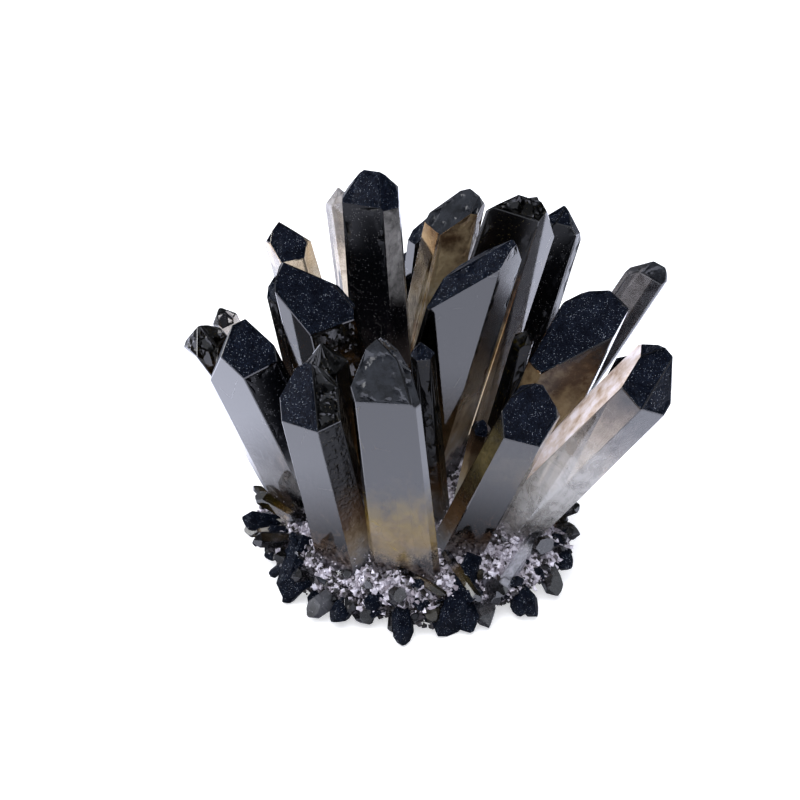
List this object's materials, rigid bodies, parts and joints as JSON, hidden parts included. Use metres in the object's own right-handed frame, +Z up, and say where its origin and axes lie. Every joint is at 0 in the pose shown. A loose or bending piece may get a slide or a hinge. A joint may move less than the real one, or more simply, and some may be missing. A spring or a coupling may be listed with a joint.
{
  "type": "smoky quartz cluster",
  "caption": "Natural cluster of long six-sided smoky quartz crystals fanning out from a lump of pale matrix rock, whose rim bristles with stubby young crystals.",
  "frame": {"origin": "on the flat cut under the rock, below the middle of the cluster's box", "axes": "+Z up, +X to the right seen from the front, the front of the cluster faces -Y"},
  "size_m": [0.121, 0.0996, 0.0979],
  "materials": {
    "smoky_quartz": "polished natural crystal faces, smoke-coloured and see-through, nearly black at the tips",
    "matrix": "rough sugary crust of pale lilac-white quartz and feldspar with dark specks"
  },
  "bodies": {
    "root": {"matrix_rock": "matrix", "crystal_front_centre": "smoky_quartz", "crystal_front_left": "smoky_quartz", "crystal_front_right": "smoky_quartz", "crystal_far_right": "smoky_quartz", "crystal_left": "smoky_quartz", "crystal_far_left": "smoky_quartz", "crystal_mid_right": "smoky_quartz", "crystal_mid_left": "smoky_quartz", "crystal_upper_left": "smoky_quartz", "crystal_upper_right": "smoky_quartz", "crystal_right": "smoky_quartz", "crystal_right_behind": "smoky_quartz", "crystal_tall": "smoky_quartz", "crystal_slender": "smoky_quartz", "crystal_back_right": "smoky_quartz", "crystal_behind_tall": "smoky_quartz", "crystal_back_far_right": "smoky_quartz", "crystal_brown": "smoky_quartz", "crystal_dark_middle": "smoky_quartz", "crystal_small_clear": "smoky_quartz", "crystal_red_brown": "smoky_quartz", "crystal_behind_left": "smoky_quartz", "crystal_small_left": "smoky_quartz", "crystal_small_right": "smoky_quartz", "crystal_rear_far_left": "smoky_quartz", "crystal_rear_left": "smoky_quartz", "crystal_rear_centre": "smoky_quartz", "crystal_rear_right": "smoky_quartz", "crystal_rear_far_right": "smoky_quartz"}
  },
  "joints": []
}
